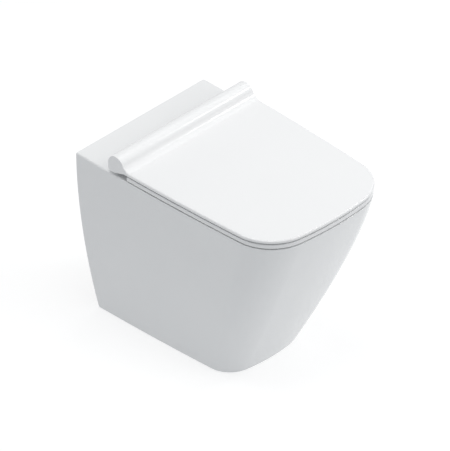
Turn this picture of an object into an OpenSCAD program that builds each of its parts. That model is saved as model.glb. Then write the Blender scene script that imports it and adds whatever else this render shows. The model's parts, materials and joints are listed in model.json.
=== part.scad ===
// Rimless back-to-wall toilet pan with a slim soft-close seat and lid.
// Every distance along y is measured from the wall and runs forward as a negative number.
// The part is then moved so that its origin is on the floor under the middle of its footprint.

/* [Pan outside] */
// Width of the rim and deck at the wall
pan_w = 360; // [340:1:390]
// Depth of the pan from the wall to the front of the rim
pan_d = 544; // [510:1:600]
// Height of the rim above the floor
pan_h = 407; // [395:1:440]
// Width of the foot at the wall
foot_w = 231; // [215:1:260]
// Depth of the foot from the wall
foot_d = 364; // [340:1:400]
// Radius of the front corners at the rim, seen from above
rim_corner_r = 95; // [75:1:110]
// Radius of the front corners at the foot
foot_corner_r = 56; // [40:1:75]
// Radius of the bowed front at the rim
rim_front_r = 740; // [500:10:1200]
// Radius of the bowed front at the foot
foot_front_r = 410; // [300:10:700]
// Radius of the slightly bowed long sides, seen from above
side_r = 6000; // [4500:100:9000]
// Angle by which the rim's sides splay out from the wall, in degrees
side_splay = 1; // [0:0.1:1.5]
// Power by which the sides draw in towards the foot
side_power = 1.7; // [1.3:0.05:2.2]
// Power by which the front draws in towards the foot
front_power = 1.19; // [1.05:0.01:1.6]
// Power by which the front corners tighten towards the foot
corner_power = 1.36; // [1:0.02:2]
// Radius of the glazed edge round the deck and rim
deck_edge_r = 3; // [1:0.5:5]

/* [Pan walls] */
// Thickness of the skirt wall
skirt_t = 12; // [9:0.5:15]
// Width of the foot that meets the floor
foot_t = 22; // [18:0.5:26]
// Height over which the foot thins to the skirt wall
foot_taper_h = 40; // [25:1:60]
// Thickness of the deck and rim
deck_t = 14; // [11:0.5:18]
// Thickness of the bowl wall
bowl_t = 11; // [9:0.5:14]

/* [Bowl] */
// Width of the flat rim at the sides and front
rim_land = 40; // [34:0.5:48]
// Distance from the wall to the back of the bowl's mouth
bowl_back = 184; // [176:1:200]
// Depth of the wash ledge below the rim
ledge_drop = 46; // [38:1:56]
// Width of the wash ledge
ledge_w = 14; // [10:0.5:18]
// Width of the flush window above the ledge
window_w = 116; // [80:1:130]
// Height of the flush window
window_h = 14; // [10:0.5:18]
// Height of the standing water above the floor
water_h = 168; // [160:1:176]
// Height of the sump's floor
sump_h = 62; // [58:1:70]
// Distance from the wall to the middle of the sump
sump_back = 272; // [264:1:284]
// Half width of the sump at the water
sump_half_w = 56; // [46:1:64]

/* [Trap and flush] */
// Outside diameter of the outlet spigot
outlet_d = 102; // [100:0.5:104]
// Bore of the outlet spigot
outlet_bore = 82; // [76:0.5:86]
// Height of the outlet's middle above the floor
outlet_h = 180; // [176:1:186]
// Gap from the outlet's end to the wall
outlet_gap = 18; // [10:1:30]
// Length of the outlet spigot in front of its shoulder
outlet_l = 67; // [60:1:75]
// Bore of the trap passage
trap_bore = 56; // [50:0.5:58]
// Radius of the trap's lower bend
trap_bend_r = 50; // [46:1:56]
// Thickness of the cross web that ties the trap to the skirt
web_t = 10; // [8:0.5:14]
// Bore of the flush inlet in the china
inlet_bore = 55; // [53:0.5:58]
// Height of the flush inlet's middle above the floor
inlet_h = 335; // [325:1:340]
// Gap from the flush inlet's face to the wall
inlet_gap = 14; // [8:1:25]
// Diameter of the flush pipe that the seal takes
flush_pipe_d = 45; // [43:0.5:47]
// Length of the flush seal inside the inlet
seal_len = 32; // [24:1:40]

/* [Seat and lid] */
// Gap between the rim and the seat ring
seat_gap = 2.2; // [1.5:0.1:3]
// Thickness of the seat ring
seat_t = 11.8; // [11:0.1:13]
// Gap between the seat ring and the lid
lid_gap = 2.4; // [2:0.1:3]
// Thickness of the lid
lid_t = 6.5; // [5.5:0.1:8]
// How far the lid stands proud of the rim all round
lid_proud = 2; // [0.5:0.1:3]
// How far the seat stands proud of the rim all round
seat_proud = 1; // [0:0.1:2.5]
// Distance from the wall to the back of the seat ring
seat_back = 141; // [139:0.5:150]
// Half width of the seat's opening
seat_open_half_w = 114; // [105:1:120]
// Distance from the wall to the back of the seat's opening
seat_open_back = 192; // [186:1:204]
// Width of the seat ring at the front
seat_front_w = 70; // [60:1:80]
// Radius of the lid's upper edge
lid_edge_r = 3.5; // [2:0.5:5]
// Radius of the seat's upper edges
seat_edge_r = 1.2; // [0.8:0.1:3]

/* [Hinge] */
// Distance from the wall to the hinge axis
hinge_back = 114.5; // [110:0.5:118]
// Height of the hinge axis above the rim
hinge_rise = 26.5; // [26.1:0.1:28]
// Outside radius of the lid's rolled barrel
barrel_r = 21.2; // [20.6:0.1:21.4]
// Radius of the hollow inside the barrel at each hinge
pocket_r = 16; // [15.5:0.1:16.5]
// Distance between the two seat fixing holes
hinge_spacing = 155; // [150:0.5:160]
// Radius of the hinge posts
post_r = 7; // [6:0.1:7.2]
// Radius of the hinge pins
pin_r = 4; // [3.5:0.1:4.2]
// Half length of a hinge pin
pin_half_l = 33.5; // [31:0.5:36]
// Radius of the soft-close dampers
damper_r = 8; // [7.5:0.1:8.4]
// Length of a soft-close damper
damper_l = 35; // [32:0.5:36]
// Radius of the seat's hinge knuckles
knuckle_r = 11; // [10.8:0.1:11.6]
// Radius of the fixing studs
stud_r = 4; // [3:0.1:4.5]
// Length of a fixing stud below the deck
stud_l = 62; // [55:1:75]
// Diameter of the seat fixing holes in the deck
fixing_hole_d = 14; // [13:0.1:16]

/* [Floor fixing] */
// Distance from the wall to the floor brackets' middle
bracket_back = 170; // [160:1:180]
// Distance between the two floor screw holes
floor_hole_spacing = 130; // [124:1:138]
// Diameter of the floor screw holes
floor_hole_d = 9; // [7:0.5:10]
// Thickness of the bracket steel
bracket_t = 3; // [2:0.5:4]
// Height of the brackets
bracket_h = 56; // [50:1:60]
// Width of the brackets along the wall-to-front line
bracket_w = 40; // [34:1:46]
// Height of the locking bolts above the floor
lug_bolt_h = 38; // [34:1:40]

/* [Hidden] */
$fn = 48;
// Radial clearance of a running fit
run = 0.05;
// Clearance of a plain drop-in fit
ease = 0.2;
// Overshoot that keeps a cut clear of the face it opens
cut = 1;
// Points along the side, the corner and the front of half an outline
side_n = 5;
corner_n = 12;
front_n = 5;
// Points round a bowl or seat opening
oval_n = 44;
// Levels in the outer skin
skin_n = 14;

// Depth by which the lid's plate runs into the barrel, and the fillet between them
barrel_lap = 6;
barrel_fillet = 22;
// Depth of the barrel's flat bottom below the axis, and the radius of its heel behind
barrel_drop = 19;
heel_r = 8;
heel_in = 0.15;
// Where the flat bottom turns up behind the axis, and where it meets the plate in front
ramp_back = 4;
ramp_front = 24;
lid_low_r = 1.2;
lid_top = seat_gap + seat_t + lid_gap + lid_t;
lid_low = lid_top - lid_t;
seat_top = seat_gap + seat_t;
// The wall lies half the overall depth behind the origin
wall_y = (pan_d + lid_proud) / 2;
hinge_x = hinge_spacing / 2;
hinge_z = pan_h + hinge_rise;
// Points the deck-level outline starts from at the hinge axis
lid_start = outline(1, -lid_proud, hinge_back)[0];
lid_half_w = lid_start[0];
// Length of stud inside the post, and half length of the post's cross boss
stud_grip = 9;
cross_half_l = 10.5;
// Seat knuckles lie inside the posts, dampers and bushes in line with them
knuckle_out = hinge_x - cross_half_l - 1;
knuckle_wall = 10;
seat_damper_out = knuckle_out - knuckle_wall;
seat_damper_in = seat_damper_out - damper_l;
knuckle_in = seat_damper_in - 2;
pocket_in = knuckle_in - 3;
pocket_out = hinge_x + cross_half_l + 6;
lid_damper_in = pocket_out + 0.5;
key_w = 3;
key_h = 1.5;
// Base plate of a hinge post on its gasket
plate_r = 14.5;
plate_t = 3.4;
plate_edge = 1.4;
gasket_t = 0.8;
// Rubber sleeve, cone nut and stud under the deck
sleeve_l = 34;
sleeve_sunk = 1;
cone_l = 9;
sleeve_bore_r = stud_r + 0.3;
boss_r = fixing_hole_d / 2 + 8;
boss_h = 12;
// Places of the buffers from the seat's opening, its back and the front of the rim
pad_out = 30;
pad_in = 32;
seat_pad_front = 190;
lid_pad_in = 90;
lid_pad_side = 20;
lid_pad_front = 44;
// Buffers
buffer_r = 8;
lid_buffer_r = 6;
buffer_stub_r = 3.5;
buffer_stub_h = 5;
lid_stub_h = 3;
rest_gap = 0.15;
// Inner face of the cast lugs that the floor brackets bolt to
lug_x = foot_w / 2 - foot_t - 5;
lug_h = bracket_h + 6;
lug_w = bracket_w + 8;
lug_plug_r = 5.5;
lug_plug_l = 20;
lug_bolt_r = 3.5;
plug_end = 2;
bolt_head_h = 5.5;
bolt_head_r = 7.5;
washer_r = 9;
washer_t = 1.6;
bracket_x = lug_x - 0.3;
bracket_reach = 48;
rib_t = 3;
rib_w = 12;
rib_h = 24;
// Openings round the inlet and the window
inlet_r = inlet_bore / 2;
horn_wall = 9;
// Flange of the flush seal
seal_flange_t = 3;
seal_flange_w = 4;
horn_r = inlet_r + horn_wall;
chamber_back = 128;
chamber_wall = 9;
ledge_z = pan_h - ledge_drop;
mouth_half_w = pan_w / 2 - rim_land;
mouth_front = pan_d - rim_land;
// Trap passage
trap_r = trap_bore / 2;
trap_wall = 10;
trap_in_z = sump_h + trap_r;
crest_z = water_h + trap_r;
trap_rise_y = -(sump_back - 47 - trap_bend_r);
upper_bend_r = 48;
crest_y = trap_rise_y + upper_bend_r;
web_y = -112;
// Height of the shoulder that ends the spigot
outlet_step = 3;
web_low = outlet_h - 40;
web_top = outlet_h + 36;

china = [0.95, 0.95, 0.94];
duroplast = [0.97, 0.97, 0.97];
steel = [0.72, 0.73, 0.74];
rubber_grey = [0.25, 0.25, 0.26];
nylon = [0.86, 0.86, 0.84];

function dir(a) = [cos(a), sin(a)];
function angle_of(v) = atan2(v[1], v[0]);
function from_foot(foot, rim, t, power) = rim - (rim - foot) * pow(max(1 - t, 0), power);

// Distance from the middle plane to the middle of the skirt wall at height z
function mid_wall(z) = from_foot(foot_w, pan_w, z / pan_h, side_power) / 2 - skirt_t / 2;

// Plan outline at height t (0 floor, 1 rim), drawn in by k, from y = -start round the front
function outline(t, k, start = 0) = let (
    w = from_foot(foot_w, pan_w, t, side_power) / 2,
    d = from_foot(foot_d, pan_d, t, front_power),
    rc = from_foot(foot_corner_r, rim_corner_r, t, corner_power),
    rf = from_foot(foot_front_r, rim_front_r, t, corner_power),
    splay = side_splay * t,
    s = [w - side_r * cos(splay), -side_r * sin(splay)],
    f = [0, rf - d],
    a = side_r - rc,
    b = rf - rc,
    gap = norm(f - s),
    e = (f - s) / gap,
    along = (a * a - b * b + gap * gap) / (2 * gap),
    off = sqrt(a * a - along * along),
    c = [s[0] + along * e[0] + off * e[1], s[1] + along * e[1] - off * e[0]],
    a0 = asin((-start - s[1]) / (side_r - k)),
    a1 = angle_of(c - s),
    a2 = angle_of(c - f),
    half = concat(
        [for (i = [0:side_n - 1]) s + (side_r - k) * dir(a0 + (a1 - a0) * i / side_n)],
        [for (i = [0:corner_n - 1]) c + (rc - k) * dir(a1 + (a2 - a1) * i / corner_n)],
        [for (i = [0:front_n]) f + (rf - k) * dir(a2 + (-90 - a2) * i / front_n)])
) concat(half, [for (i = [len(half) - 2:-1:0]) [-half[i][0], half[i][1]]]);

// Squared oval between two distances from the wall; the square power n is 2 for an ellipse
function oval(half_w, back, front, n) = [for (i = [0:oval_n - 1])
    let (c = cos(360 * i / oval_n), s = sin(360 * i / oval_n))
    [half_w * sign(c) * pow(abs(c), 2 / n),
     -(back + front) / 2 - (front - back) / 2 * sign(s) * pow(abs(s), 2 / n)]];

// Closed skin through a stack of outlines of equal length, given from the lowest up
module loft(rings, heights) {
    n = len(rings[0]);
    m = len(rings);
    polyhedron(
        points = [for (j = [0:m - 1]) for (p = rings[j]) [p[0], p[1], heights[j]]],
        faces = concat(
            [[for (i = [n - 1:-1:0]) i]],
            [for (j = [0:m - 2]) for (i = [0:n - 1]) let (k = (i + 1) % n)
                each [[j * n + i, j * n + k, (j + 1) * n + k],
                      [j * n + i, (j + 1) * n + k, (j + 1) * n + i]]],
            [[for (i = [0:n - 1]) (m - 1) * n + i]]));
}

// Moves a shape that is measured from the wall to the part's own frame
module from_wall() {
    translate([0, wall_y, 0]) children();
}

// Copies a shape that stands on the right of the middle to the left as well
module both_sides() {
    children();
    mirror([1, 0, 0]) children();
}

// Turns a profile drawn as [forward, up] from the hinge axis into a solid from x0 to x1
module hinge_profile(x0, x1) {
    translate([x0, -hinge_back, hinge_z]) rotate([90, 0, 90]) mirror([1, 0, 0])
        linear_extrude(x1 - x0) children();
}

// Round bar along x on the hinge axis
module hinge_bar(x0, x1, r) {
    translate([x0, -hinge_back, hinge_z]) rotate([0, 90, 0]) cylinder(h = x1 - x0, r = r);
}

// Full body of the skirt, foot to rim, before it is hollowed
module skin_solid() {
    edge = [for (i = [1:3]) 30 * i];
    levels = [for (i = [1:skin_n]) (pan_h - deck_edge_r) * i / skin_n];
    loft(
        concat([outline(0, 1.5)], [outline(0.006, 0)],
            [for (z = levels) outline(z / pan_h, 0)],
            [for (a = edge) outline(1, deck_edge_r * (1 - cos(a)))]),
        concat([0], [0.006 * pan_h], levels,
            [for (a = edge) pan_h - deck_edge_r * (1 - sin(a))]));
}

// Space inside the skirt: open to the floor and, past the wall plane, to the back
module skirt_hollow() {
    top = pan_h - deck_t;
    levels = [for (i = [0:6]) foot_taper_h + (top - foot_taper_h) * i / 6];
    function ring(z, k) = outline(max(z, 0) / pan_h, k, -cut);
    loft(
        concat([ring(0, foot_t)], [ring(0, foot_t)], [for (z = levels) ring(z, skirt_t)]),
        concat([-cut], [foot_taper_h / 3], levels));
}

// Levels of the bowl as [height, half width, back, front, square power]
function bowl_levels() = let (
    w = mouth_half_w, b = bowl_back, f = mouth_front, u = ledge_w,
    low_w = sump_half_w, low_b = sump_back - 50, low_f = sump_back + 96,
    low = ledge_z - 4,
    // The wall is steep under the ledge and runs in ever faster towards the water
    slope = [for (s = [0.12, 0.28, 0.46, 0.64, 0.82, 0.94])
        [water_h + (low - water_h) * s,
         low_w + (w - u - low_w) * pow(s, 0.66),
         low_b + (b + u - low_b) * pow(s, 1.6),
         low_f + (f - u - low_f) * pow(s, 0.72),
         2.3 + 1.1 * s]]
) concat([
    [sump_h, 20, sump_back - 22, sump_back + 22, 2],
    [sump_h + 4, 31, sump_back - 33, sump_back + 34, 2],
    [sump_h + 16, 38, sump_back - 41, sump_back + 46, 2],
    [(sump_h + water_h) / 2, 46, low_b + 5, low_f - 36, 2.1],
    [water_h - 22, low_w - 5, low_b + 2, low_f - 13, 2.2],
    [water_h, low_w, low_b, low_f, 2.3]
], slope, [
    [low, w - u, b + u, f - u, 3.4],
    [ledge_z - 1.5, w - u + 2.5, b + u - 2.5, f - u + 2.5, 3.45],
    [ledge_z, w - 4, b + 4, f - 4, 3.5],
    [ledge_z + 2.5, w, b, f, 3.6],
    [pan_h - 8, w - 1, b + 1, f - 1, 3.6],
    [pan_h - 3, w - 0.4, b + 0.4, f - 0.4, 3.6],
    [pan_h - 1, w + 0.8, b - 0.8, f + 0.8, 3.6],
    [pan_h, w + 3, b - 3, f + 3, 3.6]
]);

module bowl_hollow() {
    l = bowl_levels();
    last = l[len(l) - 1];
    loft(
        concat([for (q = l) oval(q[1], q[2], q[3], q[4])], [oval(last[1], last[2], last[3], last[4])]),
        concat([for (q = l) q[0]], [pan_h + cut]));
}

module bowl_outside() {
    picks = [for (i = [0, 2, 3, 5, 7, 8, 9, 10, 12]) bowl_levels()[i]];
    top = bowl_levels()[15];
    t = bowl_t;
    loft(
        concat(
            [for (q = picks) oval(q[1] + t, q[2] - t, q[3] + t, q[4])],
            [oval(top[1] + t, top[2] - t, top[3] + t, top[4])]),
        concat([for (i = [0:len(picks) - 1]) picks[i][0] - (i < 7 ? t : t / 2)],
            [pan_h - deck_t / 2]));
}

// Trap passage of radius r from the sump, up over the crest and out to the back. The wide
// spigot starts by lead before the crest's end, so that the outer run closes round the inner one.
module trap_run(r, out_r, lead, end) {
    sump_y = -sump_back + 10;
    low_y = trap_rise_y - trap_bend_r;
    translate([0, sump_y, trap_in_z]) rotate([-90, 0, 0]) cylinder(h = low_y - sump_y, r = r);
    translate([0, low_y, trap_in_z + trap_bend_r]) rotate([0, -90, 0])
        rotate([0, 0, -90]) mirror([1, 0, 0]) rotate([0, 0, -90])
        rotate_extrude(angle = 90, $fn = 64) translate([trap_bend_r, 0]) circle(r);
    translate([0, trap_rise_y, trap_in_z + trap_bend_r])
        cylinder(h = crest_z - upper_bend_r - trap_in_z - trap_bend_r, r = r);
    translate([0, trap_rise_y + upper_bend_r, crest_z - upper_bend_r]) rotate([0, -90, 0])
        rotate([0, 0, -90]) mirror([1, 0, 0]) rotate([0, 0, 90])
        rotate_extrude(angle = 90, $fn = 64) translate([upper_bend_r, 0]) circle(r);
    translate([0, crest_y - lead, outlet_h]) rotate([-90, 0, 0])
        cylinder(h = end - crest_y + lead, r = out_r, $fn = 96);
}

// Web across the casting that ties the trap to both side walls
module cross_web() {
    low = mid_wall(web_low);
    top = mid_wall(web_top);
    translate([0, web_y + web_t / 2, 0]) rotate([90, 0, 0]) linear_extrude(web_t)
        polygon([[-low, web_low], [low, web_low], [top, web_top], [-top, web_top]]);
}

// Flush horn from the inlet to the chamber behind the window
module horn_outside() {
    w = window_w + 2 * chamber_wall;
    back = chamber_back - chamber_wall;
    low = ledge_z - 10;
    translate([0, -inlet_gap, inlet_h]) rotate([90, 0, 0])
        cylinder(h = chamber_back + 2 * inlet_r / 3 + horn_wall - inlet_gap, r = horn_r);
    translate([-w / 2, -bowl_back - 4, low])
        cube([w, bowl_back - back + 4, pan_h - deck_t / 2 - low]);
}

module horn_inside() {
    translate([0, -inlet_gap + cut, inlet_h]) rotate([90, 0, 0])
        cylinder(h = chamber_back + 2 * inlet_r / 3 - inlet_gap + 2 * cut, r = inlet_r);
    // Flat chamber that spreads the water to the window, and the riser that feeds it
    translate([-window_w / 2, -bowl_back - ledge_w / 2, ledge_z + 3])
        cube([window_w, bowl_back + ledge_w / 2 - chamber_back + 2, window_h]);
    translate([-inlet_r + 4, -chamber_back - 2 * inlet_r / 3, inlet_h])
        cube([2 * inlet_r - 8, 2 * inlet_r / 3, ledge_z + 3 + window_h - inlet_h]);
}

module pan() {
    color(china) from_wall() difference() {
        union() {
            difference() {
                skin_solid();
                skirt_hollow();
            }
            bowl_outside();
            trap_run(trap_r + trap_wall, outlet_d / 2 + outlet_step, trap_wall,
                -outlet_gap - outlet_l);
            translate([0, -outlet_gap - outlet_l - cut, outlet_h]) rotate([-90, 0, 0])
                cylinder(h = outlet_l + cut, d = outlet_d, $fn = 96);
            cross_web();
            horn_outside();
            both_sides() {
                translate([hinge_x, -hinge_back, pan_h - deck_t - boss_h])
                    cylinder(h = boss_h + deck_t / 2, r = boss_r);
                // Lug inside the skirt that takes the locking bolt
                translate([0, -bracket_back + lug_w / 2, 0]) rotate([90, 0, 0])
                    linear_extrude(lug_w) polygon([[lug_x, 0], [lug_x + foot_t, 0],
                        [mid_wall(lug_h), lug_h], [lug_x, lug_h]]);
            }
        }
        bowl_hollow();
        trap_run(trap_r, outlet_bore / 2, 0, cut);
        horn_inside();
        both_sides() {
            translate([hinge_x, -hinge_back, pan_h - deck_t - boss_h - cut])
                cylinder(h = boss_h + deck_t + 2 * cut, d = fixing_hole_d);
            translate([lug_x - cut, -bracket_back, lug_bolt_h]) rotate([0, 90, 0])
                cylinder(h = lug_plug_l + cut, r = lug_plug_r);
        }
    }
}

// Rubber seal that grips the flush pipe
module flush_seal() {
    color(rubber_grey) from_wall() translate([0, -inlet_gap, inlet_h]) rotate([90, 0, 0])
        difference() {
            union() {
                cylinder(h = seal_len, r = inlet_r - ease);
                translate([0, 0, -seal_flange_t])
                    cylinder(h = seal_flange_t, r = inlet_r + seal_flange_w);
            }
            translate([0, 0, -seal_flange_t - cut])
                cylinder(h = seal_len + seal_flange_t + 2 * cut, d = flush_pipe_d);
        }
}

module lug_plugs() {
    color(nylon) from_wall() both_sides()
        translate([lug_x, -bracket_back, lug_bolt_h]) rotate([0, 90, 0]) difference() {
            cylinder(h = lug_plug_l - ease, r = lug_plug_r - ease / 2);
            translate([0, 0, -cut]) cylinder(h = lug_plug_l - plug_end + cut, r = lug_bolt_r + run);
        }
}

module lug_bolts() {
    x0 = bracket_x - bracket_t - washer_t;
    color(steel) from_wall() both_sides()
        translate([x0, -bracket_back, lug_bolt_h]) rotate([0, 90, 0]) {
            translate([0, 0, -bolt_head_h]) cylinder(h = bolt_head_h, r = bolt_head_r, $fn = 6);
            cylinder(h = lug_x - x0 + lug_plug_l - plug_end - 3, r = lug_bolt_r);
        }
}

module lug_washers() {
    color(steel) from_wall() both_sides()
        translate([bracket_x - bracket_t - washer_t, -bracket_back, lug_bolt_h])
            rotate([0, 90, 0]) difference() {
                cylinder(h = washer_t, r = washer_r);
                translate([0, 0, -cut]) cylinder(h = washer_t + 2 * cut, r = lug_bolt_r + ease);
            }
}

// Steel angle that is screwed to the floor and bolted to the lug
module floor_bracket() {
    difference() {
        translate([0, -bracket_back - bracket_w / 2, 0]) union() {
            translate([bracket_x - bracket_reach, 0, 0]) cube([bracket_reach, bracket_w, bracket_t]);
            translate([bracket_x - bracket_t, 0, 0]) cube([bracket_t, bracket_w, bracket_h]);
            // Ribs that stiffen the bend, clear of the washer
            for (y = [rib_t, bracket_w])
                translate([bracket_x - bracket_t - rib_w, y, bracket_t]) rotate([90, 0, 0])
                    linear_extrude(rib_t) polygon([[0, 0], [rib_w, 0], [rib_w, rib_h]]);
        }
        translate([floor_hole_spacing / 2, -bracket_back, -cut])
            cylinder(h = bracket_t + 2 * cut, d = floor_hole_d);
        translate([bracket_x - bracket_t - cut, -bracket_back, lug_bolt_h]) rotate([0, 90, 0])
            cylinder(h = bracket_t + 2 * cut, r = lug_bolt_r + ease);
    }
}

module floor_bracket_right() {
    color(steel) from_wall() floor_bracket();
}

module floor_bracket_left() {
    color(steel) from_wall() mirror([1, 0, 0]) floor_bracket();
}

module expansion_sleeves() {
    color(rubber_grey) from_wall() both_sides()
        translate([hinge_x, -hinge_back, pan_h - sleeve_sunk - sleeve_l]) difference() {
            cylinder(h = sleeve_l, r = fixing_hole_d / 2 - ease);
            translate([0, 0, -cut]) cylinder(h = sleeve_l + 2 * cut, r = sleeve_bore_r);
        }
}

module cone_nuts() {
    color(steel) from_wall() both_sides()
        translate([hinge_x, -hinge_back, pan_h - sleeve_sunk - sleeve_l - cone_l]) difference() {
            cylinder(h = cone_l, r1 = fixing_hole_d / 2 - 0.6, r2 = sleeve_bore_r + 1.2);
            translate([0, 0, -cut]) cylinder(h = cone_l + 2 * cut, r = stud_r + run);
        }
}

module fixing_stud() {
    translate([hinge_x, -hinge_back, pan_h - stud_l])
        cylinder(h = stud_l + gasket_t + plate_t + stud_grip, r = stud_r);
}

module fixing_stud_right() {
    color(steel) from_wall() fixing_stud();
}

module fixing_stud_left() {
    color(steel) from_wall() mirror([1, 0, 0]) fixing_stud();
}

module base_gaskets() {
    color(rubber_grey) from_wall() both_sides()
        translate([hinge_x, -hinge_back, pan_h]) difference() {
            cylinder(h = gasket_t, r = plate_r - 0.5);
            translate([0, 0, -cut]) cylinder(h = gasket_t + 2 * cut, r = stud_r + ease);
        }
}

module base_plates() {
    color(steel) from_wall() both_sides()
        translate([hinge_x, -hinge_back, pan_h + gasket_t]) difference() {
            rotate_extrude() polygon([[0, 0], [plate_r, 0], [plate_r, plate_t - plate_edge],
                [plate_r - plate_edge, plate_t], [0, plate_t]]);
            translate([0, 0, -cut]) cylinder(h = plate_t + 2 * cut, r = stud_r + ease);
        }
}

// Post on its base plate, with a cross boss that holds the hinge pin
module hinge_post() {
    foot_z = pan_h + gasket_t + plate_t;
    difference() {
        union() {
            translate([hinge_x, -hinge_back, foot_z]) cylinder(h = hinge_z - foot_z, r = post_r);
            hinge_bar(hinge_x - cross_half_l, hinge_x + cross_half_l, post_r + 1);
        }
        hinge_bar(hinge_x - cross_half_l - cut, hinge_x + cross_half_l + cut, pin_r + run / 2);
        translate([hinge_x, -hinge_back, foot_z - cut])
            cylinder(h = stud_grip + run + cut, r = stud_r + run);
    }
}

module hinge_post_right() {
    color(steel) from_wall() hinge_post();
}

module hinge_post_left() {
    color(steel) from_wall() mirror([1, 0, 0]) hinge_post();
}

module hinge_pin() {
    hinge_bar(hinge_x - pin_half_l, hinge_x + pin_half_l, pin_r);
}

module hinge_pin_right() {
    color(steel) from_wall() hinge_pin();
}

module hinge_pin_left() {
    color(steel) from_wall() mirror([1, 0, 0]) hinge_pin();
}

// Round cartridge with a key along its top and a socket for the pin in one end
module cartridge(x0, x1, socket_from, socket_to) {
    difference() {
        union() {
            hinge_bar(x0, x1, damper_r - run);
            hinge_profile(x0, x1)
                translate([-key_w / 2 + run, 0]) square([key_w - 2 * run, damper_r + key_h - run]);
        }
        hinge_bar(socket_from, socket_to, pin_r + run);
    }
}

// Bore and key way that a cartridge slides into
module cartridge_bore(x0, x1) {
    hinge_bar(x0, x1, damper_r);
    hinge_profile(x0, x1) translate([-key_w / 2, 0]) square([key_w, damper_r + key_h]);
}

module seat_cartridge() {
    cartridge(seat_damper_in + 0.3, seat_damper_out, hinge_x - pin_half_l - 1, seat_damper_out + cut);
}

module seat_damper() {
    color(rubber_grey) from_wall() seat_cartridge();
}

module seat_bush() {
    color(nylon) from_wall() mirror([1, 0, 0]) seat_cartridge();
}

module lid_cartridge() {
    cartridge(lid_damper_in, lid_damper_in + damper_l, lid_damper_in - cut, hinge_x + pin_half_l + 1);
}

module lid_damper() {
    color(rubber_grey) from_wall() mirror([1, 0, 0]) lid_cartridge();
}

module lid_bush() {
    color(nylon) from_wall() lid_cartridge();
}

// Seat knuckle round the hinge axis with the arm that runs forward under the lid
module seat_knuckle() {
    arm_top = seat_top - 1 - hinge_rise;
    reach = seat_back - hinge_back + 6;
    hinge_bar(knuckle_in, knuckle_out, knuckle_r);
    hinge_profile(knuckle_in, knuckle_out) polygon([[-knuckle_r + 1, -4], [-5, -14.5],
        [reach, seat_gap + 1 - hinge_rise], [reach, arm_top], [13, arm_top], [knuckle_r - 1, -4]]);
}

// Seat ring with rounded edges
module seat_ring() {
    r = seat_edge_r;
    low_r = 1.5;
    z0 = pan_h + seat_gap;
    z1 = pan_h + seat_top;
    arc = [for (i = [0:3]) 30 * i];
    low = [for (i = [0:2]) 90 - 45 * i];
    function lay(k) = outline(1, k - seat_proud, seat_back + k);
    difference() {
        loft(
            concat([for (a = low) lay(low_r * (1 - cos(a)))], [for (a = arc) lay(r * (1 - cos(a)))]),
            concat([for (a = low) z0 + low_r * (1 - sin(a))], [for (a = arc) z1 - r * (1 - sin(a))]));
        seat_opening(z0, z1, r, low_r, arc, low);
    }
}

module seat_opening(z0, z1, r, low_r, arc, low) {
    function lay(k) = oval(seat_open_half_w + k, seat_open_back - k, pan_d - seat_front_w + k, 2.7);
    loft(
        concat([lay(low_r)], [for (a = low) lay(low_r * (1 - cos(a)))],
            [for (a = arc) lay(r * (1 - cos(a)))], [lay(r)]),
        concat([z0 - cut], [for (a = low) z0 + low_r * (1 - sin(a))],
            [for (a = arc) z1 - r * (1 - sin(a))], [z1 + cut]));
}

// Middles of the two seat buffers on one side of the middle
function seat_buffer_places() =
    [[seat_open_half_w + pad_out, -seat_back - pad_in],
     [seat_open_half_w + pad_out - 2, -pan_d + seat_pad_front]];
// Middles of the two lid buffers on one side of the middle
function lid_buffer_places() =
    [[seat_open_half_w + pad_out + 2, -seat_back - lid_pad_in],
     [seat_open_half_w - lid_pad_side, -pan_d + lid_pad_front]];

module seat() {
    color(duroplast) from_wall() difference() {
        union() {
            seat_ring();
            both_sides() seat_knuckle();
        }
        both_sides() {
            cartridge_bore(seat_damper_in, seat_damper_out);
            hinge_bar(knuckle_in - cut, knuckle_out + cut, pin_r + run);
        }
        both_sides() for (p = seat_buffer_places())
            translate([p[0], p[1], pan_h + seat_gap - cut])
                cylinder(h = buffer_stub_h + cut + ease, r = buffer_stub_r + ease / 2);
    }
}

// Rubber pads between the seat and the rim, each with a stub in the seat
module seat_buffers() {
    color(rubber_grey) from_wall() both_sides() for (p = seat_buffer_places())
        translate([p[0], p[1], pan_h + rest_gap]) {
            cylinder(h = seat_gap - rest_gap, r = buffer_r);
            cylinder(h = seat_gap - rest_gap + buffer_stub_h, r = buffer_stub_r);
        }
}

// Flat plate of the lid with rounded edges, from the hinge axis forward
module lid_plate() {
    r = lid_edge_r;
    low_r = lid_low_r;
    z0 = pan_h + lid_low;
    z1 = pan_h + lid_top;
    arc = [for (i = [0:4]) 22.5 * i];
    low = [90, 45, 0];
    function lay(k) = outline(1, k - lid_proud, hinge_back + barrel_r - barrel_lap);
    loft(
        concat([for (a = low) lay(low_r * (1 - cos(a)))], [for (a = arc) lay(r * (1 - cos(a)))]),
        concat([for (a = low) z0 + low_r * (1 - sin(a))], [for (a = arc) z1 - r * (1 - sin(a))]));
}

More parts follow.
